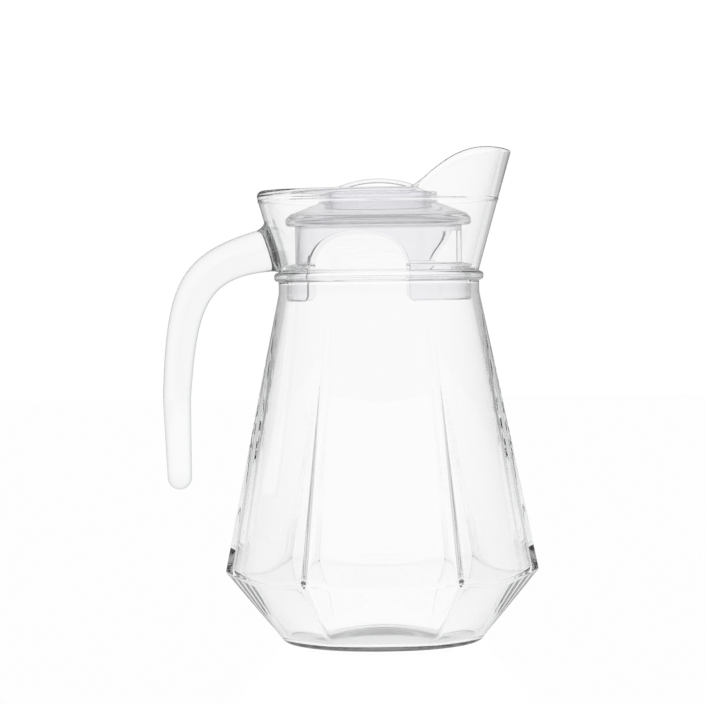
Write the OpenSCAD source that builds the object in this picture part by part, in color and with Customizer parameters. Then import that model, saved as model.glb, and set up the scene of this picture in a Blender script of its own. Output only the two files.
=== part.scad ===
// Glass pitcher with a faceted body, an applied handle and a turning push-in lid.
// Millimetres, +Z up. The origin is the middle of the base on the surface that it stands on.
// The spout points along +X and the handle along -X.

/* [Base and body] */
// Radius of the round base, before its edge is rounded
base_r = 47; // [42:1:52]
// Rounding of the edge between the base and the wall
heel_r = 4; // [2:0.5:6]
// Radius of the hollow pushed up into the underside
push_up_r = 33; // [24:1:37]
// Height of that hollow
push_up_h = 1.6; // [0.6:0.2:3]
// Height of the widest line of the body
waist_z = 34; // [26:0.5:44]
// Radius of the widest line, to the six corners
waist_r = 75.6; // [70:0.5:82]
// Rounding of the widest line
waist_round = 1.6; // [0.6:0.2:3]
// Number of flat panels round the body
panels = 6; // [5:1:8]
// How far the middles of the panels bow out at the widest line
panel_bow = 0.3; // [0.2:0.1:1.5]
// How far the widest line dips in the middle of a panel
waist_dip = 3; // [2:0.5:7]

/* [Glass thickness] */
// Thickness of the floor
floor_t = 5.5; // [4:0.5:8]
// Thickness at the middle of a panel
panel_t = 3.3; // [2.6:0.1:4.4]
// Thickness at a corner, along the radius
corner_t = 5.6; // [4.8:0.1:7]
// Radius of the flat inside floor, before its edge is rounded
floor_r = 43.5; // [40:0.5:45]
// Rounding of the edge of the inside floor
floor_round = 7; // [4:0.5:9]

/* [Neck and collar] */
// Outer radius of the neck
neck_r = 48.2; // [46:0.2:51]
// Radius of the bore of the neck, which the lid fits
bore_r = 44.6; // [42.6:0.2:45.2]
// Height at which the neck ends and the collar flares out
flare_z = 178.8; // [177:0.2:184]
// Outward run of the collar for each unit of height
flare_share = 0.283; // [0.24:0.01:0.32]
// Drop from there to the shoulder, where the body runs into the round neck
shoulder_drop = 10.8; // [8:0.2:16]
// Drop from the flare to the middle of the glass bead round the neck
bead_drop = 3.1; // [2.5:0.1:5]
// Radius of the section of the bead
bead_t = 2.1; // [1.4:0.1:2.6]
// Height of the collar, from the flare to the flat rim
collar_h = 38.6; // [35:0.2:44]
// Thickness of the glass at the rim
rim_t = 4.2; // [3.6:0.2:5]
// Rounding of the outer edge of the rim
rim_round = 3; // [1.5:0.5:3.2]

/* [Spout] */
// Height of the spout above the rim
spout_h = 18.75; // [12:0.25:26]
// Distance from the axis to the tip of the spout
spout_reach = 64.6; // [60:0.2:68]

/* [Handle] */
// Distance from the axis to the outside of the grip
handle_reach = 104.7; // [96:0.5:114]
// Rise from the flare to the upper edge of the handle where it joins the collar
handle_top_rise = 21.7; // [16:0.1:27]
// Rise from the flare to the lower edge of the handle where it joins the collar
handle_root_rise = 0.1; // [0:0.1:5]
// Drop from the flare to where the grip is furthest out
grip_drop = 61; // [50:1:72]
// Width of the grip, seen from the side
grip_w = 13.4; // [11:0.2:16]
// Width of the free end, seen from the side
tip_w = 11.6; // [9:0.2:14]
// Drop from the flare to the free end
tip_drop = 104.6; // [90:0.2:118]
// Thickness of the handle from front to back
handle_t = 15; // [12:0.5:20]

/* [Lid cap] */
// Radius of the raised middle of the cap
drum_r = 28.4; // [26:0.2:31]
// Height of the cap, from the underside of the brim to its top
cap_h = 16.4; // [14:0.2:20]
// Height of the raised middle above the shoulder
drum_h = 5; // [4:0.5:7]
// Radius of the brim
brim_r = 44.6; // [42:0.2:46]
// Rise from the flare to the underside of the brim
brim_rise = 21.6; // [19:0.2:24]
// Thickness of the brim
brim_h = 4.8; // [4:0.1:5.2]
// Thickness of the wall of the cap
cap_t = 2; // [1.4:0.1:2.4]

/* [Lid insert] */
// Outer radius of the skirt
skirt_r = 40.1; // [38:0.1:41]
// Thickness of the skirt and of its top plate
skirt_t = 2; // [1.4:0.1:2.4]
// Width of the arch that is cut through each side of the skirt
side_cut_w = 46; // [40:1:48]
// Distance of the middle of these arches from the axis, towards the handle
side_cut_back = 9; // [7:0.5:11]
// Distance from the axis to the edge of each pouring window at its sill
window_x = 26.3; // [23:0.1:28]
// Distance from the axis to the edge of each pouring window at its top
window_top_x = 34.2; // [30:0.1:35]
// Width of the bar between the two pouring windows
window_bar_w = 10; // [7:0.5:14]
// Gap between the top of each opening and the top plate
window_head = 3.2; // [2:0.2:6]
// Rise from the flare to the shelf between the skirt and the feet
shelf_rise = 1.8; // [1.4:0.1:2.6]
// Drop from the flare to the bottom of the feet
foot_drop = 14.8; // [9:0.2:18]
// Rounding of the bottom corners of the feet
foot_round = 4; // [1:0.5:5]
// Radius of the inside of the finger cup
cup_r = 24.2; // [20:0.2:24.6]

/* [Lid grip] */
// Rise of the arched grip above the cap
grip_rise = 5.8; // [3:0.2:8]
// Radius of the arch
arch_r = 51; // [40:1:70]
// Thickness of the arch
arch_t = 2; // [1.4:0.1:3]
// Width of the arch from front to back
arch_w = 9; // [6:0.5:14]

/* [Fits] */
// Gap between the lid and the glass, and between the parts of the lid
lid_gap = 0.3; // [0.2:0.05:0.5]
// Gap between the feet of the grip and the wall of its cup
snap_gap = 0.1; // [0.05:0.05:0.2]
// Overrun of every cut
overrun = 1; // [0.5:0.5:2]

/* [Hidden] */
$fn = 96;
corner_steps = 6;
curve_steps = 12;
edge_steps = 3;
side_steps = 5;
panel_steps = 12;
window_steps = 24;
panel_turn = 360 / panels;

// The spout's upper edge in three curves, four points each, as shares of its reach and rise
spout_curve_shares = [
    [[0.20, 0.00], [0.25, 0.00], [0.28, 0.08], [0.31, 0.16]],
    [[0.31, 0.16], [0.49, 0.71], [0.62, 1.00], [0.82, 1.00]],
    [[0.82, 1.00], [0.89, 1.00], [0.96, 0.98], [1.02, 0.91]]
];
// Middle points of the handle's outer and inner edges, as shares of their run out and drop
outer_edge_shares = [[0.855, 0.86], [0.957, 0.695]];
inner_edge_shares = [[0.851, 0.993], [0.919, 0.734]];
// Squareness of the arches at the sides of the lid: 2 is an ellipse, more is squarer
side_cut_power = 2.4;
// Squareness of the handle's section: 2 is round, more is squarer
section_power = 4;
section_steps = 20;

// Point on a curve with four control points
function bezier(p, t) = (1 - t)^3 * p[0] + 3 * (1 - t)^2 * t * p[1] + 3 * (1 - t) * t^2 * p[2] + t^3 * p[3];

// Direction of a vector
function unit(v) = v / norm(v);

// Arc that rounds corner b between a and c
function corner_arc(a, b, c, r, steps = corner_steps) =
    let (
        u = unit(a - b),
        v = unit(c - b),
        half = acos(u * v) / 2,
        middle = b + unit(u + v) * r / sin(half),
        p = b + u * r / tan(half) - middle,
        q = b + v * r / tan(half) - middle,
        sweep = acos(p * q / (r * r))
    )
    [for (k = [0:steps])
        let (s = k / steps)
        middle + (p * sin((1 - s) * sweep) + q * sin(s * sweep)) / sin(sweep)];

// Outline whose corners are given as x, y and rounding
function rounded(corners) = [
    for (i = [0:len(corners) - 1])
        let (
            n = len(corners),
            b = corners[i],
            a = corners[(i + n - 1) % n],
            c = corners[(i + 1) % n]
        )
        each b[2] == 0 ? [[b[0], b[1]]] : corner_arc([a[0], a[1]], [b[0], b[1]], [c[0], c[1]], b[2])
];

// Heights that are set from the foot of the flare
shoulder_z = flare_z - shoulder_drop;
bead_z = flare_z - bead_drop;
rim_z = flare_z + collar_h;
spout_z = rim_z + spout_h;
handle_top_z = flare_z + handle_top_rise;
handle_root_z = flare_z + handle_root_rise;
grip_z = flare_z - grip_drop;
tip_z = flare_z - tip_drop;
brim_z = flare_z + brim_rise;
cap_top_z = brim_z + cap_h;
grip_top_z = cap_top_z + grip_rise;
shelf_z = flare_z + shelf_rise;
foot_z = flare_z - foot_drop;

// Outer radius of the collar at a height
function collar_r(z) = neck_r + (z - flare_z) * flare_share;

// Inner radius of the collar at a height
rim_in_r = collar_r(rim_z) - rim_t;
bore_share = (rim_in_r - bore_r) / (rim_z - flare_z);
function collar_in_r(z) = bore_r + (z - flare_z) * bore_share;

waist_in_r = waist_r - corner_t;
top_z = spout_z + overrun;

// Distance from the axis to the middle of a panel whose corners lie at a radius
function panel_middle(corner_r) = corner_r * cos(panel_turn / 2);

// Line from the base over the waist to the neck, as x and height, with the waist and lower edge rounded
function side_line(bottom, edge_round, waist, neck) =
    let (
        slope = (neck[0] - waist[0]) / (neck[1] - waist[1]),
        top = [neck[0] + slope * overrun, neck[1] + overrun]
    )
    concat(
        corner_arc([0, bottom[1]], bottom, waist, edge_round, edge_steps),
        corner_arc(bottom, waist, top, waist_round, edge_steps),
        [for (k = [1:side_steps]) waist + (top - waist) * k / side_steps]
    );

// Ring whose panels are arcs, each through its middle point and the corners beside it
function panel_ring(corner, middle) =
    let (
        half = panel_turn / 2,
        w = corner[0] * sin(half),
        s = middle[0] - corner[0] * cos(half),
        arc_r = (w * w + s * s) / (2 * s),
        x0 = middle[0] - arc_r
    )
    [for (i = [0:panels - 1], k = [0:panel_steps - 1])
        let (
            a = panel_turn * (k / panel_steps - 0.5),
            r = x0 * cos(a) + sqrt(arc_r^2 - (x0 * sin(a))^2),
            z = middle[1] + (corner[1] - middle[1]) * pow(a / half, 2),
            turn = (i + 0.5) * panel_turn + a
        )
        [r * cos(turn), -r * sin(turn), z]];

// Closed shape between a line at the corners and a line at the middles of the panels
module panelled(corner_line, middle_line) {
    loft([for (i = [0:len(corner_line) - 1]) panel_ring(corner_line[i], middle_line[i])]);
}

// Solid shape of the body below the neck
module body_outside() {
    panelled(
        side_line([base_r, 0], heel_r, [waist_r, waist_z], [neck_r, shoulder_z]),
        side_line(
            [base_r, 0],
            heel_r,
            [panel_middle(waist_r) + panel_bow, waist_z - waist_dip],
            [neck_r, shoulder_z]
        )
    );
}

// Space inside the body below the neck
module body_inside() {
    panelled(
        side_line([floor_r, floor_t], floor_round, [waist_in_r, waist_z], [bore_r, shoulder_z]),
        side_line(
            [floor_r, floor_t],
            floor_round,
            [panel_middle(waist_r) + panel_bow - panel_t, waist_z - waist_dip],
            [bore_r, shoulder_z]
        )
    );
}

// Neck and flared collar, carried up to the top of the spout
module collar_wall() {
    rotate_extrude() polygon([
        [bore_r, shoulder_z - 2 * overrun],
        [neck_r, shoulder_z - 2 * overrun],
        [neck_r, flare_z],
        [collar_r(top_z), top_z],
        [collar_in_r(top_z), top_z],
        [bore_r, flare_z]
    ]);
}

// Everything above the flat rim and above the curved edge of the spout
module above_rim() {
    far_r = collar_r(top_z) + overrun;
    tip = spout_curve_shares[2][3];
    edge = [for (curve = spout_curve_shares, k = [0:curve_steps - 1])
        let (p = bezier(curve, k / curve_steps))
        [p[0] * spout_reach, rim_z + p[1] * spout_h]];
    rotate([90, 0, 0]) linear_extrude(height = 2 * far_r, center = true) polygon(concat(
        [[-far_r, top_z + overrun], [-far_r, rim_z]],
        edge,
        [
            [tip[0] * spout_reach, rim_z + tip[1] * spout_h],
            [far_r, rim_z + tip[1] * spout_h],
            [far_r, top_z + overrun]
        ]
    ));
}

// Sharp outer corner of the rim, all round except at the spout
module rim_corner() {
    edge_r = collar_r(rim_z);
    arc = corner_arc([neck_r, flare_z], [edge_r, rim_z], [rim_in_r, rim_z], rim_round);
    spout_half = acos(spout_curve_shares[0][0][0] * spout_reach / edge_r);
    rotate([0, 0, spout_half]) rotate_extrude(angle = 360 - 2 * spout_half) polygon(concat(arc, [
        [arc[corner_steps][0], rim_z + overrun],
        [edge_r + overrun, rim_z + overrun],
        [edge_r + overrun, arc[0][1]]
    ]));
}

// Blown glass body: base, six panels, neck, bead, collar and spout in one
module glass_body() {
    dish_r = (push_up_r^2 + push_up_h^2) / (2 * push_up_h);
    color([0.86, 0.92, 0.93, 0.5])
    difference() {
        union() {
            body_outside();
            difference() {
                collar_wall();
                above_rim();
                rim_corner();
            }
            translate([0, 0, bead_z]) rotate_extrude() translate([neck_r, 0]) circle(bead_t);
        }
        body_inside();
        translate([0, 0, shoulder_z - overrun]) cylinder(r = bore_r, h = flare_z - shoulder_z + overrun);
        translate([0, 0, push_up_h - dish_r]) sphere(dish_r);
    }
}

// Ring of points round the handle's section, from the middles of its two edges
function section_ring(outer, inner, half_t) =
    let (middle = (outer + inner) / 2, across = (outer - inner) / 2)
    [for (k = [0:section_steps - 1])
        let (
            a = 360 * (k + 0.5) / section_steps,
            u = sign(cos(a)) * pow(abs(cos(a)), 2 / section_power),
            v = sign(sin(a)) * pow(abs(sin(a)), 2 / section_power),
            p = middle + across * u
        )
        [p[0], half_t * v, p[1]]];

// Solid through rings of points, closed at both ends
module loft(rings) {
    n = len(rings[0]);
    last = len(rings) - 1;
    sides = [for (i = [0:last - 1], k = [0:n - 1])
        let (a = i * n + k, b = i * n + (k + 1) % n)
        each [[a, b, b + n], [a, b + n, a + n]]];
    polyhedron(
        points = [for (ring = rings) each ring],
        faces = concat(
            sides,
            [[for (k = [n - 1:-1:0]) k]],
            [[for (k = [0:n - 1]) last * n + k]]
        )
    );
}

// Point on an edge of the handle between its root and the grip
function edge_curve(root, grip, shares, t) = bezier([
    root,
    [root[0] + (grip[0] - root[0]) * shares[0][0], grip[1] + (root[1] - grip[1]) * shares[0][1]],
    [root[0] + (grip[0] - root[0]) * shares[1][0], grip[1] + (root[1] - grip[1]) * shares[1][1]],
    grip
], t);

// Applied glass handle with a free lower end
module glass_handle() {
    sink = neck_r - bore_r;
    root_outer = [sink - collar_r(handle_top_z), handle_top_z];
    root_inner = [sink - collar_r(handle_root_z), handle_root_z];
    grip_outer = [-handle_reach, grip_z];
    grip_inner = [grip_w - handle_reach, grip_z];
    tip_middle = [grip_inner[0] - tip_w / 2, tip_z + tip_w / 2];
    tip_across = [tip_w / 2, 0];
    upper = [for (k = [0:2 * curve_steps])
        let (t = k / (2 * curve_steps))
        section_ring(
            edge_curve(root_outer, grip_outer, outer_edge_shares, t),
            edge_curve(root_inner, grip_inner, inner_edge_shares, t),
            handle_t / 2
        )];
    lower = [for (k = [1:curve_steps / 2])
        let (t = 2 * k / curve_steps)
        section_ring(
            grip_outer + (tip_middle - tip_across - grip_outer) * t,
            grip_inner + (tip_middle + tip_across - grip_inner) * t,
            handle_t / 2
        )];
    end = [for (k = [1:corner_steps - 1])
        let (a = 90 * k / corner_steps, middle = tip_middle - [0, sin(a)] * tip_w / 2)
        section_ring(
            middle - tip_across * cos(a),
            middle + tip_across * cos(a),
            handle_t / 2 - (1 - cos(a)) * tip_w / 2
        )];
    color([0.84, 0.91, 0.92, 0.5])
    difference() {
        loft(concat(upper, lower, end));
        rotate_extrude() polygon([
            [0, bead_z],
            [collar_r(flare_z), bead_z],
            [collar_r(flare_z), flare_z],
            [collar_r(rim_z), rim_z],
            [0, rim_z]
        ]);
    }
}

// Levels and radii that the cap and the insert share
brim_top_z = brim_z + brim_h;
shoulder_top_z = cap_top_z - drum_h;
shoulder_r = brim_r - brim_h / 2;
plate_z = brim_z + brim_h / 2 + lid_gap;
head_z = plate_z - skirt_t - window_head;
sill_z = shelf_z + skirt_t;
cup_out_r = drum_r - cap_t - lid_gap;

// Round cap: raised middle, sloping shoulder and brim, open at the top round the finger cup
module lid_cap() {
    color([0.86, 0.85, 0.92, 0.6])
    rotate_extrude() polygon(rounded([
        [skirt_r + lid_gap, brim_z, 0],
        [brim_r, brim_z, brim_h / 3],
        [brim_r, brim_top_z - brim_h / 4, brim_h / 3],
        [shoulder_r, brim_top_z + brim_h / 4, brim_h / 3],
        [drum_r, shoulder_top_z, cap_t / 2],
        [drum_r, cap_top_z, cap_t / 3],
        [drum_r - cap_t, cap_top_z, cap_t / 3],
        [drum_r - cap_t, shoulder_top_z - cap_t / 2, 0],
        [shoulder_r - 2 * cap_t, plate_z + lid_gap, 0],
        [skirt_r + lid_gap, plate_z + lid_gap, 0]
    ]));
}

// Arch through both sides of the skirt, open at the bottom between feet with rounded corners
module side_cut() {
    half_w = side_cut_w / 2;
    translate([-side_cut_back, 0, 0]) rotate([90, 0, 0])
        linear_extrude(height = 2 * (bore_r + overrun), center = true) polygon(rounded(concat(
            [
                [-half_w, foot_z, foot_round],
                [-half_w - foot_round, foot_z - overrun, 0],
                [half_w + foot_round, foot_z - overrun, 0],
                [half_w, foot_z, foot_round]
            ],
            [for (k = [0:window_steps])
                let (
                    a = 180 * k / window_steps,
                    x = sign(cos(a)) * pow(abs(cos(a)), 2 / side_cut_power),
                    z = pow(sin(a), 2 / side_cut_power)
                )
                [x * half_w, flare_z + z * (head_z - flare_z), 0]]
        )));
}

// Pouring windows on both sides of the bar towards the spout. Their edge leans back in a soft S down to the sill
module window_cut() {
    far = bore_r + overrun;
    edge = [for (k = [0:window_steps])
        let (t = k / window_steps, share = t * t * (3 - 2 * t))
        [window_x + share * (window_top_x - window_x), sill_z + t * (head_z - sill_z)]];
    difference() {
        rotate([90, 0, 0]) linear_extrude(height = 2 * far, center = true)
            polygon(concat(edge, [[far, head_z], [far, sill_z]]));
        translate([0, -window_bar_w / 2, foot_z]) cube([far + overrun, window_bar_w, plate_z - foot_z]);
    }
}

// Insert that carries the lid in the neck: skirt with its openings, feet, top plate and finger cup
module lid_insert() {
    foot_r = bore_r - lid_gap;
    shelf_r = collar_in_r(shelf_z) - lid_gap;
    shelf_in_r = skirt_r - skirt_t;
    color([0.84, 0.83, 0.91, 0.6])
    difference() {
        rotate_extrude() polygon([
            [shelf_in_r, plate_z - skirt_t],
            [shelf_in_r, shelf_z - skirt_t],
            [foot_r - skirt_t, shelf_z - skirt_t],
            [foot_r - skirt_t, foot_z],
            [foot_r, foot_z],
            [foot_r, flare_z],
            [shelf_r, shelf_z],
            [shelf_r, shelf_z + skirt_t / 2],
            [skirt_r, sill_z],
            [skirt_r, plate_z],
            [cup_out_r, plate_z],
            [cup_out_r, cap_top_z - lid_gap],
            [cup_r, cap_top_z - lid_gap],
            [cup_r, plate_z],
            [0, plate_z],
            [0, plate_z - skirt_t]
        ]);
        side_cut();
        window_cut();
    }
}

// Arched grip that bridges the finger cup and stands on the top plate
module lid_grip() {
    arch_z = grip_top_z - arch_r;
    leg_x = cup_r - snap_gap;
    leg_top_z = arch_z + sqrt(arch_r^2 - leg_x^2);
    color([0.82, 0.81, 0.90, 0.6])
    intersection() {
        translate([0, 0, plate_z]) cylinder(r = leg_x, h = grip_top_z - plate_z);
        rotate([90, 0, 0]) linear_extrude(height = arch_w, center = true) union() {
            difference() {
                translate([0, arch_z]) circle(arch_r, $fn = 180);
                translate([0, arch_z]) circle(arch_r - arch_t, $fn = 180);
                translate([-arch_r, arch_z - arch_r]) square([2 * arch_r, leg_top_z - arch_t - arch_z + arch_r]);
            }
            for (side = [-1, 1]) translate([side * (leg_x - arch_t / 2), plate_z])
                translate([-arch_t / 2, 0]) square([arch_t, leg_top_z - arch_t / 2 - plate_z]);
        }
    }
}

glass_body();
glass_handle();
lid_cap();
lid_insert();
lid_grip();
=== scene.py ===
"""Looks of a clear glass pitcher with a faceted body, an applied glass handle and a see-through lid.

Every piece is a surface worked out in numpy from the same sizes as the solid model. Lengths are in metres.
The spout points along +X, the handle along -X, and the object stands on z = 0.
"""

import bpy
import numpy as np
from mathutils import Matrix, Vector


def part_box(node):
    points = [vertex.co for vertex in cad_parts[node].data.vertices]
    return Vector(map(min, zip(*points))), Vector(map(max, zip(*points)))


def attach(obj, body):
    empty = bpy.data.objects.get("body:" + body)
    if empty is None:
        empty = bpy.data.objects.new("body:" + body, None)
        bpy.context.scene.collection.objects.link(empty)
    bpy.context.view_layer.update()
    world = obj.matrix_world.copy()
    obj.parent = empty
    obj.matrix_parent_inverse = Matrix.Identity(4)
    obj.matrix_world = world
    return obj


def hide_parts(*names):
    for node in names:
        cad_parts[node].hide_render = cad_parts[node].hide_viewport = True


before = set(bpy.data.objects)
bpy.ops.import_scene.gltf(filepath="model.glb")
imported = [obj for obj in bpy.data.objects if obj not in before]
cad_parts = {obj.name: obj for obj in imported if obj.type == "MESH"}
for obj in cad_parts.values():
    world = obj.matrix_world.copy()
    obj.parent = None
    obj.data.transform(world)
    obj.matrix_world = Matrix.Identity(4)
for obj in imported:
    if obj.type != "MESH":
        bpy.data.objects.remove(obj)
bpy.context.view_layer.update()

MM = 0.001
BODY_TOP_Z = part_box("glass_body")[1].z
HANDLE_REACH = -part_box("glass_handle")[0].x
CAP_LOW, CAP_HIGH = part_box("lid_cap")
FOOT_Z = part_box("lid_insert")[0].z
GRIP_TOP_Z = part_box("lid_grip")[1].z

# Body. WAIST_R reaches to a corner, and PANEL_R to the middle of a panel
PANELS = 6
BASE_R = 47 * MM
HEEL_ROUND = 4 * MM
PUSH_UP_R = 33 * MM
PUSH_UP_H = 0.8 * MM
PUSH_UP_ROUND = 3 * MM
PUSH_UP_SHARES = np.linspace(0.06, 0.94, 8)
WAIST_R = 75.6 * MM
WAIST_Z = 34 * MM
WAIST_DIP = 3 * MM
WAIST_ROUND = 1.4 * MM
PANEL_BOW = 0.28 * MM
PANEL_R = WAIST_R * np.cos(np.pi / PANELS) + PANEL_BOW
LEAST_BOW = 1e-6
SHOULDER_Z = 168 * MM
SHOULDER_ROUND = 5 * MM
RIDGE_W = 0.8 * MM
RIB_W = 0.5 * MM
RIB_H = 0.28 * MM
RIB_FADE = 10 * MM
FLOOR_T = 3 * MM
FLOOR_R = 45 * MM
FLOOR_CORNER_R = 46 * MM
FLOOR_ROUND = 4 * MM
PANEL_T = 3.3 * MM
CORNER_T = 5.6 * MM
INNER_WAIST_ROUND = 3 * MM

# Neck, collar and spout
NECK_R = 48.2 * MM
BORE_R = 44.6 * MM
BEAD_Z = 175.7 * MM
BEAD_T = 2.1 * MM
BEAD_ROUND = 1.65 * MM
BEAD_FILLET = 0.4 * MM
BEAD_START_Z = BEAD_Z - BEAD_T - BEAD_FILLET
FLARE_Z = 178.8 * MM
FLARE_SHARE = 0.283
FLARE_FOOT_Z = FLARE_Z - 0.4 * MM
FLARE_START_Z = FLARE_Z + 0.3 * MM
COLLAR_END_Z = FLARE_Z - 3 * MM
BORE_START_Z = FLARE_Z - 4 * MM
INNER_FLARE_ROUND = 6 * MM
RIM_Z = 217.4 * MM
RIM_T = 4.2 * MM
RIM_ROUND = 2.9 * MM
INNER_RIM_ROUND = 0.3 * MM
SPOUT_ROUND = 0.8 * MM
SPOUT_ROUND_RISE = 4 * MM
SPOUT_REACH = 64.6 * MM
SPOUT_CURVE_SHARES = np.array([
    [[0.20, 0.00], [0.25, 0.00], [0.28, 0.08], [0.31, 0.16]],
    [[0.31, 0.16], [0.49, 0.71], [0.62, 1.00], [0.82, 1.00]],
    [[0.82, 1.00], [0.89, 1.00], [0.96, 0.98], [1.02, 0.91]],
])
MOULD_LINE_Z = 211.9 * MM
MOULD_LINE_W = 0.5 * MM
MOULD_LINE_H = 0.3 * MM

# Handle. EDGE_SHARES places the two middle points of its outer and of its inner edge
HANDLE_TOP_Z = 200.5 * MM
HANDLE_ROOT_Z = 178.9 * MM
HANDLE_T = 15 * MM
GRIP_Z = 117.8 * MM
GRIP_W = 13.4 * MM
TIP_W = 11.6 * MM
TIP_Z = 74.2 * MM
TIP_TURN = 88
ROOT_SINK = 0.3 * MM
ROOT_FILLET = 3.6 * MM
ROOT_FILLET_UP = 2.8 * MM
ROOT_FILLET_DOWN = 2.2 * MM
ROOT_BEND = 4 * ROOT_FILLET
SECTION_POWER = 2.3
EDGE_SHARES = np.array([
    [[0.855, 0.86], [0.957, 0.695]],
    [[0.851, 0.993], [0.919, 0.734]],
])

# Lid
LID_GAP = 0.3 * MM
SNAP_GAP = 0.1 * MM
OVERRUN = 1 * MM
MOULDED_EDGE = 0.9 * MM
EDGE_ANGLE = np.radians(40)
SEAT_ROUND = 0.2 * MM
LEDGE_ROUND = 0.3 * MM
CUP_ROUND = 0.5 * MM
SKIRT_ROUND = 0.6 * MM
POLE_R = 0.4 * MM
DRUM_R = 28.4 * MM
DRUM_H = 5 * MM
DRUM_FOOT_ROUND = 0.4 * MM
CAP_TOP_Z = CAP_HIGH.z
CAP_T = 2 * MM
BRIM_R = 44.6 * MM
BRIM_Z = CAP_LOW.z
BRIM_H = 4.8 * MM
SKIRT_R = 40.1 * MM
SKIRT_T = 2 * MM
SIDE_CUT_W = 46 * MM
SIDE_CUT_BACK = 9 * MM
SIDE_CUT_POWER = 2.4
WINDOW_X = 26.3 * MM
WINDOW_TOP_X = 34.2 * MM
WINDOW_BAR_W = 10 * MM
WINDOW_HEAD = 3.2 * MM
SHELF_Z = 180.6 * MM
FOOT_ROUND = 4 * MM
CUP_R = 24.2 * MM
ARCH_R = 51 * MM
ARCH_T = 2 * MM
ARCH_W = 9 * MM
ARCH_ROUND = 0.6 * MM
ARCH_BEND = 2 * MM
ARCH_FOOT_GAP = 0.05 * MM
PLATE_Z = BRIM_Z + BRIM_H / 2 + LID_GAP
HEAD_Z = PLATE_Z - SKIRT_T - WINDOW_HEAD
SILL_Z = SHELF_Z + SKIRT_T
CUP_OUT_R = DRUM_R - CAP_T - LID_GAP

# Fineness of the grids. EVEN_SHARE is the part of the body's column spacing that is even
BODY_COLUMNS = 378
EVEN_SHARE = 0.25
LID_COLUMNS = 192
ARC_POINTS = 8
SPOUT_POINTS = 40
SPOUT_ROUNDS = 60
EDGE_POINTS = 90
FILLET_POINTS = 12
GRIP_POINTS = 14
TIP_POINTS = 14
SECTION_POINTS = 64
SIDE_CUT_POINTS = 65
WINDOW_POINTS = 25
ARCH_POINTS = 61

# Glass and plastic
GLASS_IOR = 1.5
GLASS_WAVES = 45.0
GLASS_WAVE_H = 0.02 * MM
GLASS_ROUGHNESS = 0.02
GLASS_INSIDE = (0.85, 0.90, 0.88, 1)
GLASS_DENSITY = 2.0
# Painted shade: the glass's colour darkens towards its outline at this blend of the facing share; the red
# loss and green gain there are its own tint.
OUTLINE_SHADE_BLEND = 0.5
EDGE_RED_LOSS = 0.03
EDGE_GREEN_GAIN = 0.01
PLASTIC_IOR = 1.49
PLASTIC_COLOUR = (0.974, 0.971, 0.987, 1)
PLASTIC_WAVES = 120.0
PLASTIC_WAVE_H = 0.01 * MM
PLASTIC_ROUGHNESS = 0.02
PLASTIC_UNEVENNESS = 0.05
WAVE_DETAIL = 2.0

# Studio and camera
WHITE = (1, 1, 1, 1)
OUTSIDE_DIMMING = 0.45
ROOM_DIMMING = 0.27
FLOOR_DIMMING = 0.02
FLOOR_SIZE = 3.0
FLOOR_Z = -0.1 * MM
FLOOR_MIRROR_SHARE = 0.08
FLOOR_MIRRORED_WHITE = 0.44
FLOOR_ROUGHNESS = 0.08
CAMERA_DISTANCE = 1.511
CAMERA_Z = 0.1765
CAMERA_LENS = 160.3
CAMERA_SENSOR = 36.0
CAMERA_ROLL = np.radians(-0.69)
CAMERA_AIM = Vector((-13.1 * MM, 0, 139.2 * MM))
LIGHT_BOUNCES = 24
CLEAR_BOUNCES = 20


def corner_arc(a, b, c, radius):
    """Points on the arc of the radius that touches a-b and b-c.

    Its middle lies on the bisector of the corner b, at radius / sin(half the corner's angle).
    """
    a, b, c = np.broadcast_arrays(np.asarray(a, float), np.asarray(b, float), np.asarray(c, float))
    u = (a - b) / np.linalg.norm(a - b, axis=-1, keepdims=True)
    v = (c - b) / np.linalg.norm(c - b, axis=-1, keepdims=True)
    half = np.arccos(np.clip((u * v).sum(-1), -1, 1))[..., None] / 2
    radius = np.broadcast_to(radius, half.shape[:-1])[..., None]
    axis = (u + v) / np.linalg.norm(u + v, axis=-1, keepdims=True)
    middle = b + axis * radius / np.sin(half)
    p = b + u * radius / np.tan(half) - middle
    q = b + v * radius / np.tan(half) - middle
    sweep = np.pi - 2 * half
    t = np.linspace(0, 1, ARC_POINTS).reshape((-1,) + (1,) * b.ndim)
    return middle + (p * np.sin((1 - t) * sweep) + q * np.sin(t * sweep)) / np.sin(sweep)


def rounded_line(corners, counts):
    """Points along a line of corners ((x, z), rounding), which may hold a value for each column.

    There is an arc at each rounded corner, and counts[i] points lie on the way from corner i to the next.
    They stand closer together near the corners, at (1 - cos(pi s)) / 2 of the way for even steps s.
    """
    runs = []
    for i, (b, radius) in enumerate(corners):
        if 0 < i < len(corners) - 1 and np.max(radius) > 0:
            runs.append(corner_arc(corners[i - 1][0], b, corners[i + 1][0], radius))
        else:
            runs.append(np.asarray(b, float)[None])
    line = [runs[0]]
    for before, after, count in zip(runs[:-1], runs[1:], counts):
        t = (1 - np.cos(np.pi * np.arange(1, count + 1) / (count + 1))) / 2
        t = t.reshape((-1,) + (1,) * (before.ndim - 1))
        line += [before[-1] + (after[0] - before[-1]) * t, after]
    return np.concatenate(line)


def column_angles():
    """Angle of each column of the body, from corner to corner of each panel.

    A sine draws the columns together towards the corners, apart from the even share of their spacing.
    """
    per_panel = BODY_COLUMNS // PANELS
    u = 2 * np.arange(per_panel) / per_panel - 1
    away = EVEN_SHARE * u + (1 - EVEN_SHARE) * np.sin(np.pi * u / 2)
    return (np.arange(PANELS)[:, None] + 0.5 + away / 2).ravel() * 2 * np.pi / PANELS


THETA = column_angles()


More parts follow.
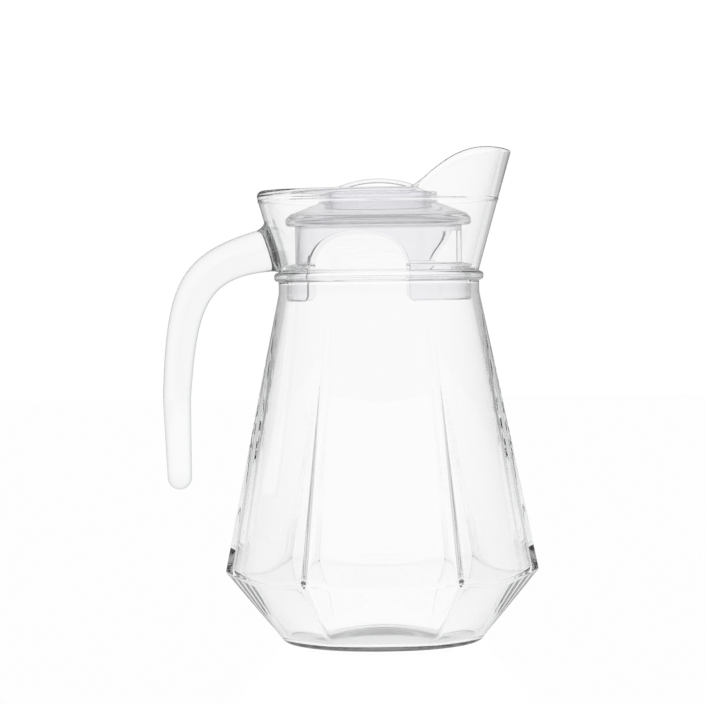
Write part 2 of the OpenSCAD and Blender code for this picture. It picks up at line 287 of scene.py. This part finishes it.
def panel_rings(corner_line, middle_line, rib_h=0):
    """Rings (r, z) of a faceted wall: each panel is an arc through its middle and its two corners.

    A corner is rounded by measuring the angle from it as the root of its square plus the square of the
    ridge's width. A fine rib follows the corner as a bell curve, and fades out where the wall gets as narrow
    as the neck.
    """
    half = np.pi / PANELS
    away = np.abs((THETA / (2 * half)) % 1 - 0.5) * 2 * half
    corner, middle = corner_line[:, None], middle_line[:, None]
    width = np.minimum(RIDGE_W / np.maximum(corner[..., 0], RIDGE_W), half / 2)
    phi = half - np.sqrt((half - away) ** 2 + width ** 2)
    w, s = corner[..., 0] * np.sin(half), middle[..., 0] - corner[..., 0] * np.cos(half)
    arc_r = (w * w + s * s) / (2 * np.maximum(s, LEAST_BOW))
    x0 = middle[..., 0] - arc_r
    r = x0 * np.cos(phi) + np.sqrt(arc_r ** 2 - (x0 * np.sin(phi)) ** 2)
    rib_share = np.clip((corner[..., 0] - NECK_R) / RIB_FADE, 0, 1)
    r += rib_h * rib_share * np.exp(-((half - away) * corner[..., 0] / RIB_W) ** 2)
    z = middle[..., 1] + (corner[..., 1] - middle[..., 1]) * (phi / half) ** 2
    return np.stack([r, z], -1)


def collar_r(z):
    """Outer radius of the flared collar, a straight line in z."""
    return NECK_R + (z - FLARE_Z) * FLARE_SHARE


def collar_in_r(z):
    """Inner radius of the collar, the straight line from the bore to the inside of the rim."""
    return BORE_R + (z - FLARE_Z) * (collar_r(RIM_Z) - RIM_T - BORE_R) / (RIM_Z - FLARE_Z)


def bezier(p, t):
    """Cubic curve with the control points p[0] to p[3]."""
    t = np.asarray(t, float)[..., None]
    return (1 - t) ** 3 * p[0] + 3 * (1 - t) ** 2 * t * p[1] + 3 * (1 - t) * t ** 2 * p[2] + t ** 3 * p[3]


def top_edge(radius_at):
    """Height of the top edge at each column: the spout's side profile at x = r(z) cos(angle).

    The radius depends on the height, so the height is halved towards its solution again and again.
    """
    rise = BODY_TOP_Z - RIM_Z
    t = np.linspace(0, 1, SPOUT_POINTS)
    profile = np.concatenate([bezier(curve, t) for curve in SPOUT_CURVE_SHARES])
    z = np.full(THETA.shape, RIM_Z)
    for _ in range(SPOUT_ROUNDS):
        x = radius_at(z) * np.cos(THETA) / SPOUT_REACH
        z = (z + RIM_Z + rise * np.interp(x, profile[:, 0], profile[:, 1])) / 2
    return z


def new_piece(name, points, faces):
    """Object at the origin with a smooth mesh of these points and faces."""
    mesh = bpy.data.meshes.new(name)
    mesh.from_pydata(points.tolist(), [], faces)
    mesh.polygons.foreach_set("use_smooth", np.ones(len(mesh.polygons), bool))
    mesh.update()
    piece = bpy.data.objects.new(name, mesh)
    bpy.context.scene.collection.objects.link(piece)
    return piece


def grid_quads(strips, rows, columns):
    """Quads of the strips between the rows of a grid whose columns, and rows, close on themselves."""
    i, j = np.meshgrid(np.arange(strips), np.arange(columns), indexing="ij")
    m, n = (i + 1) % rows, (j + 1) % columns
    corners = [i * columns + j, i * columns + n, m * columns + n, m * columns + j]
    return np.stack(corners, -1).reshape(-1, 4)


def point_inwards(points, quads):
    """Whether the volume inside the quads, the sum of the triple products of their corners, is negative."""
    a, b, c, d = (points[quads[:, k]] for k in range(4))
    return (np.cross(a, b) * c).sum() + (np.cross(a, c) * d).sum() < 0


def closed_grid(name, rings, start=None, end=None):
    """Mesh through closed rings of points, with a fan to a start and an end point.

    Its faces point outwards.
    """
    rows, columns = rings.shape[:2]
    start = rings[0].mean(0) if start is None else start
    end = rings[-1].mean(0) if end is None else end
    points = np.concatenate([rings.reshape(-1, 3), [start, end]])
    quads = grid_quads(rows - 1, rows, columns)
    j, k = np.arange(columns), (np.arange(columns) + 1) % columns
    last = (rows - 1) * columns
    fans = np.concatenate([
        np.stack([np.full(columns, rows * columns), k, j], -1),
        np.stack([np.full(columns, rows * columns + 1), last + j, last + k], -1),
    ])
    if point_inwards(points, quads):
        quads, fans = quads[:, ::-1], fans[:, ::-1]
    return new_piece(name, points, quads.tolist() + fans.tolist())


def wrapped_grid(name, rings):
    """Mesh of a grid that closes on itself both ways. Its faces point outwards."""
    rows, columns = rings.shape[:2]
    points = rings.reshape(-1, 3)
    quads = grid_quads(rows, rows, columns)
    if point_inwards(points, quads):
        quads = quads[:, ::-1]
    return new_piece(name, points, quads.tolist())


def around(line):
    """Rings (r, z) of a line of points that is the same at every column."""
    return np.broadcast_to(line[:, None], (len(line), len(THETA), 2))


def to_space(rings):
    """Points in space of rings (r, z) at the columns' angles."""
    r, z = rings[..., 0], rings[..., 1]
    return np.stack([r * np.cos(THETA), r * np.sin(THETA), z], -1)


def push_up():
    """Shallow hollow under the base, from the middle out: its height falls with the square of the radius."""
    return np.stack([PUSH_UP_SHARES * PUSH_UP_R, PUSH_UP_H * (1 - PUSH_UP_SHARES ** 2)], -1)


def outside_rings():
    """Outside of the body, from the middle of the base over the waist and the bead to the foot of the flare.

    The hollow under the base and the bead are round, and the wall between them has panels.
    """

    def wall(waist):
        return rounded_line([
            (push_up()[-1], 0),
            ([PUSH_UP_R, 0], PUSH_UP_ROUND),
            ([BASE_R, 0], HEEL_ROUND),
            (waist, WAIST_ROUND),
            ([NECK_R, SHOULDER_Z], SHOULDER_ROUND),
            ([NECK_R, BEAD_START_Z], 0),
        ], [1, 3, 8, 26, 2])

    panels = panel_rings(wall([WAIST_R, WAIST_Z]), wall([PANEL_R, WAIST_Z - WAIST_DIP]), RIB_H)
    bead = rounded_line([
        ([NECK_R, BEAD_START_Z], 0),
        ([NECK_R, BEAD_Z - BEAD_T], BEAD_FILLET),
        ([NECK_R + BEAD_T, BEAD_Z - BEAD_T], BEAD_ROUND),
        ([NECK_R + BEAD_T, BEAD_Z + BEAD_T], BEAD_ROUND),
        ([NECK_R, BEAD_Z + BEAD_T], BEAD_FILLET),
        ([NECK_R, FLARE_FOOT_Z], 0),
    ], [0, 0, 1, 0, 0])
    return np.concatenate([around(push_up()), panels[1:], around(bead[1:-1])])


def collar_rings():
    """Collar from its foot over the rim and the spout's edge down to the bore.

    The rounding of the edge goes over from the rim's to the spout's by the smooth step t t (3 - 2 t) of the
    rise. The mould line round the outside is a bell curve in z.
    """
    outer_z, inner_z = top_edge(collar_r), top_edge(collar_in_r)
    lift = np.clip((outer_z - RIM_Z) / SPOUT_ROUND_RISE, 0, 1)
    edge_round = RIM_ROUND + (SPOUT_ROUND - RIM_ROUND) * lift * lift * (3 - 2 * lift)

    def at(r, z):
        return np.stack(np.broadcast_arrays(r, z, THETA)[:2], -1)

    def outside_at(z):
        return at(collar_r(z), z)

    def inside_at(z):
        return at(collar_in_r(z), z)

    rings = rounded_line([
        (at(NECK_R, FLARE_FOOT_Z), 0),
        (outside_at(FLARE_START_Z), 0),
        (outside_at(MOULD_LINE_Z - 2 * MOULD_LINE_W), 0),
        (outside_at(MOULD_LINE_Z + 2 * MOULD_LINE_W), 0),
        (outside_at(outer_z), edge_round),
        (inside_at(inner_z), INNER_RIM_ROUND),
        (inside_at(FLARE_Z), INNER_FLARE_ROUND),
        (at(BORE_R, COLLAR_END_Z), 0),
    ], [2, 12, 9, 8, 2, 18, 1])[:-1]
    line = np.exp(-((rings[..., 1] - MOULD_LINE_Z) / MOULD_LINE_W) ** 2) * MOULD_LINE_H
    outside = rings[..., 0] > collar_in_r(rings[..., 1]) + RIM_T / 2
    rings[..., 0] += np.where(outside, line, 0)
    return rings


def inside_rings():
    """Inside of the body from the bore down to the floor, and in to near its middle."""

    def wall(waist, floor_r):
        return rounded_line([
            ([BORE_R, BORE_START_Z], 0),
            ([BORE_R, SHOULDER_Z], SHOULDER_ROUND),
            (waist, INNER_WAIST_ROUND),
            ([floor_r, FLOOR_T], FLOOR_ROUND),
            ([FLOOR_R / 8, FLOOR_T], 0),
        ], [2, 22, 8, 6])

    return panel_rings(
        wall([WAIST_R - CORNER_T, WAIST_Z], FLOOR_CORNER_R),
        wall([PANEL_R - PANEL_T, WAIST_Z - WAIST_DIP], FLOOR_R),
    )


def glass_body():
    """Outside, rim and inside of the body as one closed shell."""
    rings = to_space(np.concatenate([outside_rings(), collar_rings(), inside_rings()]))
    rings[..., 2] = np.maximum(rings[..., 2], 0)
    return closed_grid("clear_body", rings, [0, 0, PUSH_UP_H], [0, 0, FLOOR_T])


def edge_curve(root, grip, shares, t):
    """Edge of the handle from its root to the grip.

    The shares give the two middle points of the curve as parts of its run and its drop.
    """
    run, drop = grip[0] - root[0], root[1] - grip[1]
    return bezier(np.array([
        root,
        [root[0] + run * shares[0][0], grip[1] + drop * shares[0][1]],
        [root[0] + run * shares[1][0], grip[1] + drop * shares[1][1]],
        grip,
    ]), t)


def way_from_root(edges):
    """Distance of the middle between the outer and the inner edge from where it starts."""
    middle = edges.mean(0)
    return np.linalg.norm(middle - middle[0], axis=1)


def upper_edges(grip):
    """Outer and inner edge of the handle from the collar to the grip.

    The curves start inside the glass of the collar, and what lies under its surface is cut off. Near the
    root the points are set anew, at the squares of even steps.
    """
    z = np.array([HANDLE_TOP_Z, HANDLE_ROOT_Z])
    root = np.stack([ROOT_SINK - collar_r(z), z], -1)
    far = np.stack([NECK_R - BORE_R - collar_r(z), z], -1)
    t = np.linspace(0, 1, EDGE_POINTS)
    curves = [edge_curve(far[k], grip[k], EDGE_SHARES[k], t) for k in range(2)]
    curves = [curve[curve[:, 0] < root[k, 0]] for k, curve in enumerate(curves)]
    count = min(len(curve) for curve in curves)
    edges = np.stack([np.concatenate([root[k, None], curve[-count:]]) for k, curve in enumerate(curves)])
    first = int(np.argmax(way_from_root(edges) > ROOT_FILLET))
    near = np.linspace(0, 1, FILLET_POINTS)[:, None] ** 2
    start = edges[:, :1] + (edges[:, first, None] - edges[:, :1]) * near
    return np.concatenate([start, edges[:, first + 1:]], 1)


def section_rings(outer, inner, half_t):
    """Squarish rings between points on the outer and inner edge: |u|^power + |v|^power = 1."""
    a = (np.arange(SECTION_POINTS) + 0.5) * 2 * np.pi / SECTION_POINTS
    u = np.sign(np.cos(a)) * np.abs(np.cos(a)) ** (2 / SECTION_POWER)
    v = np.sign(np.sin(a)) * np.abs(np.sin(a)) ** (2 / SECTION_POWER)
    middle, across = (outer + inner)[:, None] / 2, (outer - inner)[:, None] / 2
    flat = middle + across * u[:, None]
    return np.stack([flat[..., 0], half_t[:, None] * v, flat[..., 1]], -1)


def glass_handle():
    """Bar of squarish section from the collar out and down to a rounded free end.

    Near the root it widens as a quarter circle, by 1 - sqrt(1 - (1 - d / fillet)^2) at the distance d. Its
    rings there are bent onto the round collar.
    """
    grip = np.array([[-HANDLE_REACH, GRIP_Z], [GRIP_W - HANDLE_REACH, GRIP_Z]])
    tip_middle = np.array([grip[1, 0] - TIP_W / 2, TIP_Z + TIP_W / 2])
    across = np.array([[[-TIP_W / 2, 0]], [[TIP_W / 2, 0]]])
    upper = upper_edges(grip)
    away = way_from_root(upper)
    fillet = 1 - np.sqrt(1 - (1 - np.clip(away / ROOT_FILLET, 0, 1)) ** 2)
    up = (upper[0, 0] - upper[1, 0]) / np.linalg.norm(upper[0, 0] - upper[1, 0])
    widening = np.array([ROOT_FILLET_UP, -ROOT_FILLET_DOWN])[:, None, None]
    upper = upper + widening * fillet[:, None] * up
    t = np.linspace(0, 1, GRIP_POINTS)[1:, None]
    lower = grip[:, None] + (tip_middle + across - grip[:, None]) * t
    a = np.radians(np.linspace(0, TIP_TURN, TIP_POINTS))[1:, None]
    end = tip_middle - np.sin(a) * np.array([0, TIP_W / 2]) + across * np.cos(a)
    outer, inner = np.concatenate([upper, lower, end], 1)
    half_t = np.full(len(outer), HANDLE_T / 2)
    half_t[:len(fillet)] += fillet * ROOT_FILLET
    half_t[-len(a):] -= (1 - np.cos(a[:, 0])) * TIP_W / 2
    rings = section_rings(outer, inner, half_t)
    root = rings[:len(away)]
    radius = collar_r(root[..., 2])
    nearness = 1 - np.clip(away / ROOT_BEND, 0, 1)[:, None]
    root[..., 0] += (radius - np.sqrt(radius ** 2 - root[..., 1] ** 2)) * nearness
    return closed_grid("clear_handle", rings)


def turned(line):
    """Rings in space of a line (r, z) that is turned round the axis."""
    a = 2 * np.pi * np.arange(LID_COLUMNS) / LID_COLUMNS
    r, z = line[:, 0, None], np.broadcast_to(line[:, 1, None], (len(line), LID_COLUMNS))
    return np.stack([r * np.cos(a), r * np.sin(a), z], -1)


def lid_cap():
    """Cap: a closed outline of raised middle, sloping shoulder and brim, turned round the axis."""
    brim_top_z = BRIM_Z + BRIM_H
    shoulder_top_z = CAP_TOP_Z - DRUM_H
    shoulder_r = BRIM_R - BRIM_H / 2
    corners = [
        ([SKIRT_R + LID_GAP, BRIM_Z], SEAT_ROUND),
        ([BRIM_R, BRIM_Z], BRIM_H / 3),
        ([BRIM_R, brim_top_z - BRIM_H / 4], BRIM_H / 3),
        ([shoulder_r, brim_top_z + BRIM_H / 4], BRIM_H / 3),
        ([DRUM_R, shoulder_top_z], CAP_T / 2),
        ([DRUM_R, CAP_TOP_Z], CAP_T / 3),
        ([DRUM_R - CAP_T, CAP_TOP_Z], CAP_T / 3),
        ([DRUM_R - CAP_T, shoulder_top_z - CAP_T / 2], DRUM_FOOT_ROUND),
        ([shoulder_r - 2 * CAP_T, PLATE_Z + LID_GAP], LEDGE_ROUND),
        ([SKIRT_R + LID_GAP, PLATE_Z + LID_GAP], SEAT_ROUND),
    ]
    line = rounded_line([corners[-1]] + corners + [corners[0]], [0, 2, 1, 1, 8, 3, 1, 3, 8, 2, 1])
    return wrapped_grid("see_through_cap", turned(line[1:-1]))


def prism(name, outline, start, end):
    """Block that carries an outline (x, z) along the y axis."""
    return closed_grid(name, np.stack([
        np.stack([outline[:, 0], np.full(len(outline), y), outline[:, 1]], -1) for y in (start, end)
    ]))


def side_cut_outline():
    """Arch |x / w|^p + |z / h|^p = 1 on straight sides.

    The sides spread round the bottom corners of the feet.
    """
    half_w, low = SIDE_CUT_W / 2, FOOT_Z - OVERRUN
    a = np.linspace(0, np.pi, SIDE_CUT_POINTS)
    x = np.sign(np.cos(a)) * np.abs(np.cos(a)) ** (2 / SIDE_CUT_POWER) * half_w
    z = FLARE_Z + np.sin(a) ** (2 / SIDE_CUT_POWER) * (HEAD_Z - FLARE_Z)
    foot = corner_arc([half_w + FOOT_ROUND, low], [half_w, FOOT_Z], [half_w, FLARE_Z], FOOT_ROUND)
    right = np.concatenate([[[half_w + FOOT_ROUND, low]], foot])
    return np.concatenate([right, np.stack([x, z], -1), right[::-1] * [-1, 1]]) - [SIDE_CUT_BACK, 0]


def window_outline():
    """Pouring window, which is open past the skirt.

    From the sill to the top its edge leans towards the spout as t t (3 - 2 t).
    """
    t = np.linspace(0, 1, WINDOW_POINTS)
    x = WINDOW_X + t * t * (3 - 2 * t) * (WINDOW_TOP_X - WINDOW_X)
    edge = np.stack([x, SILL_Z + t * (HEAD_Z - SILL_Z)], -1)
    return np.concatenate([edge, [[BORE_R, HEAD_Z], [BORE_R, SILL_Z]]])


def cut_openings(piece, cutters):
    """Cuts the openings and rounds their edges as a mould does.

    The result is kept as the piece's own mesh.
    """
    for cutter in cutters:
        cut = piece.modifiers.new(cutter.name, "BOOLEAN")
        cut.operation = "DIFFERENCE"
        cut.object = cutter
        cut.solver = "EXACT"
    bevel = piece.modifiers.new("moulded_edge", "BEVEL")
    bevel.width = MOULDED_EDGE
    bevel.segments = 2
    bevel.limit_method = "ANGLE"
    bevel.angle_limit = EDGE_ANGLE
    bevel.harden_normals = True
    bpy.context.view_layer.update()
    done = bpy.data.meshes.new_from_object(piece.evaluated_get(bpy.context.evaluated_depsgraph_get()))
    piece.modifiers.clear()
    piece.data = done
    for cutter in cutters:
        bpy.data.objects.remove(cutter)


def lid_insert():
    """Windowed part of the lid: its outline is turned round the axis, and the openings are cut out of it.

    The outline runs along the skirt, the feet, the shelf, the top plate and the finger cup.
    """
    foot_r = BORE_R - LID_GAP
    shelf_r = collar_in_r(SHELF_Z) - LID_GAP
    shelf_in_r = SKIRT_R - SKIRT_T
    line = rounded_line([
        ([POLE_R, PLATE_Z - SKIRT_T], 0),
        ([shelf_in_r, PLATE_Z - SKIRT_T], SKIRT_T / 2),
        ([shelf_in_r, SHELF_Z - SKIRT_T], SKIRT_ROUND),
        ([foot_r - SKIRT_T, SHELF_Z - SKIRT_T], SKIRT_ROUND),
        ([foot_r - SKIRT_T, FOOT_Z], MOULDED_EDGE),
        ([foot_r, FOOT_Z], MOULDED_EDGE),
        ([foot_r, FLARE_Z], SEAT_ROUND),
        ([shelf_r, SHELF_Z], SEAT_ROUND),
        ([shelf_r, SHELF_Z + SKIRT_T / 2], LEDGE_ROUND),
        ([SKIRT_R, SILL_Z], SKIRT_ROUND),
        ([SKIRT_R, PLATE_Z], SKIRT_ROUND),
        ([CUP_OUT_R, PLATE_Z], LEDGE_ROUND),
        ([CUP_OUT_R, CAP_TOP_Z - LID_GAP], MOULDED_EDGE),
        ([CUP_R, CAP_TOP_Z - LID_GAP], MOULDED_EDGE),
        ([CUP_R, PLATE_Z], CUP_ROUND),
        ([POLE_R, PLATE_Z], 0),
    ], [6, 6, 1, 5, 0, 5, 0, 0, 0, 6, 3, 4, 0, 4, 6])
    insert = closed_grid("arched_insert", turned(line), [0, 0, PLATE_Z - SKIRT_T], [0, 0, PLATE_Z])
    cut_openings(insert, [
        prism("arches", side_cut_outline(), -BORE_R - OVERRUN, BORE_R + OVERRUN),
        prism("front_window", window_outline(), -BORE_R, -WINDOW_BAR_W / 2),
        prism("back_window", window_outline(), WINDOW_BAR_W / 2, BORE_R),
    ])
    return insert


def lid_grip():
    """Arched strip that bridges the finger cup on two short legs: a rounded bar carried along the arch."""
    arch_z = GRIP_TOP_Z - ARCH_R
    mid_r = ARCH_R - ARCH_T / 2
    leg_x = CUP_R - SNAP_GAP - ARCH_T / 2
    reach = np.arcsin(leg_x / mid_r)
    a = np.linspace(-reach, reach, ARCH_POINTS)
    arch = np.stack([mid_r * np.sin(a), arch_z + mid_r * np.cos(a)], -1)
    foot = np.array([leg_x, PLATE_Z + ARCH_FOOT_GAP])
    corner = corner_arc(foot, arch[-1], arch[-2], ARCH_BEND)
    arch = arch[np.abs(arch[:, 0]) < corner[-1, 0]]
    half = np.concatenate([[foot, foot + [0, ARCH_T / 2]], corner])
    path = np.concatenate([half * [-1, 1], arch, half[::-1]])
    along = np.gradient(path, axis=0)
    along /= np.linalg.norm(along, axis=1, keepdims=True)
    out = np.stack([-along[:, 1], along[:, 0]], -1)
    section = rounded_line([
        ([-ARCH_W / 2, 0], 0),
        ([-ARCH_W / 2, ARCH_T / 2], ARCH_ROUND),
        ([ARCH_W / 2, ARCH_T / 2], ARCH_ROUND),
        ([ARCH_W / 2, -ARCH_T / 2], ARCH_ROUND),
        ([-ARCH_W / 2, -ARCH_T / 2], ARCH_ROUND),
        ([-ARCH_W / 2, 0], 0),
    ], [0, 6, 0, 6, 0])[:-1]
    flat = path[:, None] + out[:, None] * section[:, 1, None]
    rings = np.stack([flat[..., 0], np.broadcast_to(section[:, 0], flat.shape[:2]), flat[..., 1]], -1)
    return closed_grid("arched_grip", rings)


class Socket:
    """A shader socket on which the signs + - * and ** add Math nodes."""

    def __init__(self, tree, socket):
        self.tree = tree
        self.socket = socket

    def maths(self, operation, a, b):
        """Result of a Math node on two values or sockets."""
        n = self.tree.nodes.new("ShaderNodeMath")
        n.operation = operation
        for place, value in enumerate((a, b)):
            link(self.tree, n.inputs[place], value)
        return Socket(self.tree, n.outputs[0])

    def clamped(self):
        """The value kept between 0 and 1."""
        return add_node(self.tree, "ShaderNodeClamp", Value=self)

    def __add__(self, other):
        return self.maths("ADD", self, other)

    def __sub__(self, other):
        return self.maths("SUBTRACT", self, other)

    def __rsub__(self, other):
        return self.maths("SUBTRACT", other, self)

    def __mul__(self, other):
        return self.maths("MULTIPLY", self, other)

    def __pow__(self, other):
        return self.maths("POWER", self, other)

    __radd__, __rmul__ = __add__, __mul__


def link(tree, place, value):
    """Gives an input socket a link or a plain value."""
    if isinstance(value, Socket):
        tree.links.new(value.socket, place)
    else:
        place.default_value = value


def add_node(tree, kind, settings=None, out=0, **values):
    """Adds a node, sets its settings, then its sockets, whose names have their spaces as underscores.

    Returns one of its outputs, by number or name, or nothing for a node that has none.
    """
    n = tree.nodes.new(kind)
    for key, value in (settings or {}).items():
        setattr(n, key, value)
    for key, value in values.items():
        name = key.replace("_", " ")
        place = next(s for s in n.inputs if s.name == name and s.enabled)
        link(tree, place, value)
    return Socket(tree, n.outputs[out]) if n.outputs else None


def new_material(name):
    """Empty material and the tree of its nodes."""
    m = bpy.data.materials.new(name)
    m.use_nodes = True
    m.node_tree.nodes.clear()
    return m, m.node_tree


def wavy(tree, scale, height):
    """Noise on the object's own coordinates, and the normal of a faintly uneven surface that it bumps."""
    place = add_node(tree, "ShaderNodeTexCoord", out="Object")
    noise = add_node(tree, "ShaderNodeTexNoise", Vector=place, Scale=scale, Detail=WAVE_DETAIL)
    return noise, add_node(tree, "ShaderNodeBump", Height=noise, Distance=height, Strength=1.0)


def clear_glass(name, face_white, outline_shade_white, outline_shade_power):
    """Clear soda glass, smooth from the fire, with the slow waviness of a pressed wall and a trace of green.

    Seen face on it passes the share face_white of the light. Towards its outline its colour darkens to
    outline_shade_white,
    as a power of the facing share: painted shade for the dark outline of the glass, with a green cast of its
    longer path.
    """
    m, tree = new_material(name)
    noise, normal = wavy(tree, GLASS_WAVES, GLASS_WAVE_H)
    # Painted shade: the colour darkens towards the outline by a power of the facing share; the slight green
    # cast there is the glass's own tint.
    edge = add_node(tree, "ShaderNodeLayerWeight", out="Facing", Blend=OUTLINE_SHADE_BLEND)
    tint = add_node(
        tree, "ShaderNodeMix", {"data_type": "RGBA"}, out=2,
        Factor=edge ** outline_shade_power,
        A=(face_white, face_white, face_white, 1),
        B=(outline_shade_white - EDGE_RED_LOSS, outline_shade_white + EDGE_GREEN_GAIN, outline_shade_white, 1),
    )
    shader = add_node(
        tree, "ShaderNodeBsdfPrincipled",
        Base_Color=tint,
        Roughness=noise * GLASS_ROUGHNESS,
        IOR=GLASS_IOR,
        Transmission_Weight=1.0,
        Normal=normal,
    )
    inside = add_node(tree, "ShaderNodeVolumeAbsorption", Color=GLASS_INSIDE, Density=GLASS_DENSITY)
    add_node(tree, "ShaderNodeOutputMaterial", Surface=shader, Volume=inside)
    return m


def moulded_plastic():
    """See-through plastic with a faint lavender-grey tint and the slight unevenness of a moulding."""
    m, tree = new_material("moulded_plastic")
    noise, normal = wavy(tree, PLASTIC_WAVES, PLASTIC_WAVE_H)
    shader = add_node(
        tree, "ShaderNodeBsdfPrincipled",
        Base_Color=PLASTIC_COLOUR,
        Roughness=PLASTIC_ROUGHNESS + noise * PLASTIC_UNEVENNESS,
        IOR=PLASTIC_IOR,
        Transmission_Weight=1.0,
        Normal=normal,
    )
    add_node(tree, "ShaderNodeOutputMaterial", Surface=shader)
    return m


def studio_white(tree, dimming):
    """Brightness of the white studio along a ray.

    Straight through the glass it is full. A ray that was mirrored has gone round into the darker part of the
    room. It is dimmed by the share given at each of its first three turns, and by OUTSIDE_DIMMING as well if
    it never went through the glass.
    """
    path = add_node(tree, "ShaderNodeLightPath").socket.node
    mirrored = Socket(tree, path.outputs["Glossy Depth"])
    passed = Socket(tree, path.outputs["Transmission Depth"])
    once = mirrored.clamped()
    twice = (mirrored - 1.0).clamped()
    more = (mirrored - 2.0).clamped()
    outside = 1.0 - passed.clamped()
    later = (1.0 - twice * dimming) * (1.0 - more * dimming)
    return (1.0 - once * (dimming + outside * OUTSIDE_DIMMING)) * later


def make_world():
    """Even white room."""
    world = bpy.data.worlds.new("white_room")
    bpy.context.scene.world = world
    world.use_nodes = True
    tree = world.node_tree
    tree.nodes.clear()
    room = add_node(tree, "ShaderNodeBackground", Color=WHITE, Strength=studio_white(tree, ROOM_DIMMING))
    add_node(tree, "ShaderNodeOutputWorld", Surface=room)


def make_floor():
    """Pale floor that shines as white as the room, with a faint mirror image of the object."""
    points = np.array([(-1, -1, 0), (1, -1, 0), (1, 1, 0), (-1, 1, 0)]) * FLOOR_SIZE + [0, 0, FLOOR_Z]
    floor = new_piece("floor", points, [(0, 1, 2, 3)])
    m, tree = new_material("pale_floor")
    lift = (1 - FLOOR_MIRROR_SHARE * FLOOR_MIRRORED_WHITE) / (1 - FLOOR_MIRROR_SHARE)
    strength = studio_white(tree, FLOOR_DIMMING) * lift
    glow = add_node(tree, "ShaderNodeEmission", Color=WHITE, Strength=strength)
    gloss = add_node(tree, "ShaderNodeBsdfGlossy", Color=WHITE, Roughness=FLOOR_ROUGHNESS)
    shiny = add_node(tree, "ShaderNodeMixShader", Fac=FLOOR_MIRROR_SHARE)
    link(tree, shiny.socket.node.inputs[1], glow)
    link(tree, shiny.socket.node.inputs[2], gloss)
    add_node(tree, "ShaderNodeOutputMaterial", Surface=shiny)
    floor.data.materials.append(m)


def make_camera():
    """Camera of the photograph: it looks along +Y, from about the height of the bead round the neck."""
    data = bpy.data.cameras.new("camera")
    data.lens = CAMERA_LENS
    data.sensor_width = CAMERA_SENSOR
    camera = bpy.data.objects.new("camera", data)
    bpy.context.scene.collection.objects.link(camera)
    place = Vector((0, -CAMERA_DISTANCE, CAMERA_Z))
    turn = (CAMERA_AIM - place).to_track_quat("-Z", "Y").to_matrix().to_4x4()
    camera.matrix_world = Matrix.Translation(place) @ turn @ Matrix.Rotation(CAMERA_ROLL, 4, "Z")
    bpy.context.scene.camera = camera


make_camera()
make_world()
make_floor()
# Both glass colours darken towards their outlines as painted shade, the handle's far more.
pressed_glass = clear_glass("pressed_glass", face_white=0.995, outline_shade_white=0.8, outline_shade_power=5.0)
drawn_glass = clear_glass("drawn_glass", face_white=0.95, outline_shade_white=0.5, outline_shade_power=1.8)
plastic = moulded_plastic()

body = glass_body()
body.data.materials.append(pressed_glass)
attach(body, "jug")
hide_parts("glass_body")

handle = glass_handle()
handle.data.materials.append(drawn_glass)
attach(handle, "jug")
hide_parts("glass_handle")

cap = lid_cap()
cap.data.materials.append(plastic)
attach(cap, "lid_cover")
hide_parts("lid_cap")

insert = lid_insert()
insert.data.materials.append(plastic)
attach(insert, "lid_core")
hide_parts("lid_insert")

grip = lid_grip()
grip.data.materials.append(plastic)
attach(grip, "lid_core")
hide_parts("lid_grip")

scene = bpy.context.scene
scene.view_settings.view_transform = "Standard"
scene.cycles.max_bounces = LIGHT_BOUNCES
scene.cycles.glossy_bounces = CLEAR_BOUNCES
scene.cycles.transmission_bounces = CLEAR_BOUNCES
